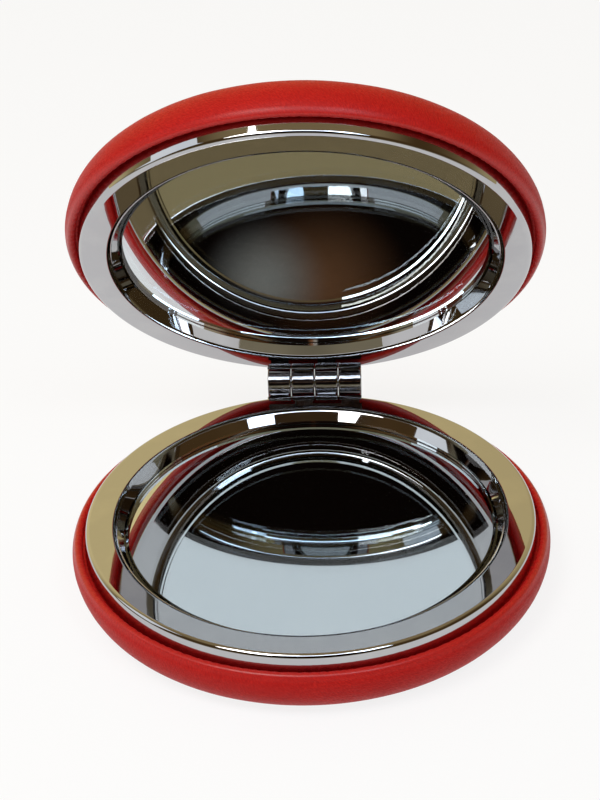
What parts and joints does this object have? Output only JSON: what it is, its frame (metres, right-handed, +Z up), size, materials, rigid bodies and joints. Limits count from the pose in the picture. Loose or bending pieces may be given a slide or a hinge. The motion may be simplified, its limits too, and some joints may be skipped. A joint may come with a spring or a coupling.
{
  "type": "compact mirror",
  "caption": "Round folding pocket mirror: padded red leather-look covers over chrome frames with a flat glass mirror set in each half, joined by a pin hinge with interleaved knuckles.",
  "frame": {"origin": "middle of the flat underside of the base's cover, where the mirror stands", "axes": "+Z up out of the resting face, +Y towards the hinge at the back, +X to the right as it faces the user"},
  "size_m": [0.07, 0.0771, 0.0743],
  "materials": {
    "red_cover": "fine-grained satin leather-look coating",
    "foam": "open-cell foam",
    "shell_plastic": "as moulded",
    "adhesive": "cured glue film",
    "chrome_plate": "bright plated",
    "clear_glass": "polished float glass with a ground bevel",
    "mirror_silver": "silvered",
    "pin_steel": "drawn wire"
  },
  "bodies": {
    "base": {"base_cover_skin": "red_cover", "base_foam_pad": "foam", "base_backing_shell": "shell_plastic", "base_shell_glue": "adhesive", "base_hem_glue": "adhesive", "base_frame": "chrome_plate", "base_mirror_glass": "clear_glass", "base_mirror_silver": "mirror_silver", "base_mirror_tape": "adhesive", "base_hinge_leaf": "chrome_plate", "hinge_pin": "pin_steel"},
    "lid": {"lid_cover_skin": "red_cover", "lid_foam_pad": "foam", "lid_backing_shell": "shell_plastic", "lid_shell_glue": "adhesive", "lid_hem_glue": "adhesive", "lid_frame": "chrome_plate", "lid_mirror_glass": "clear_glass", "lid_mirror_silver": "mirror_silver", "lid_mirror_tape": "adhesive", "lid_hinge_leaf": "chrome_plate"}
  },
  "joints": [
    {"name": "lid_hinge", "type": "hinge", "parent": "base", "child": "lid", "pos_m": [0, 0.0364, 0.01015], "axis": [-1, 0, 0], "range_deg": [-59, 119]}
  ]
}
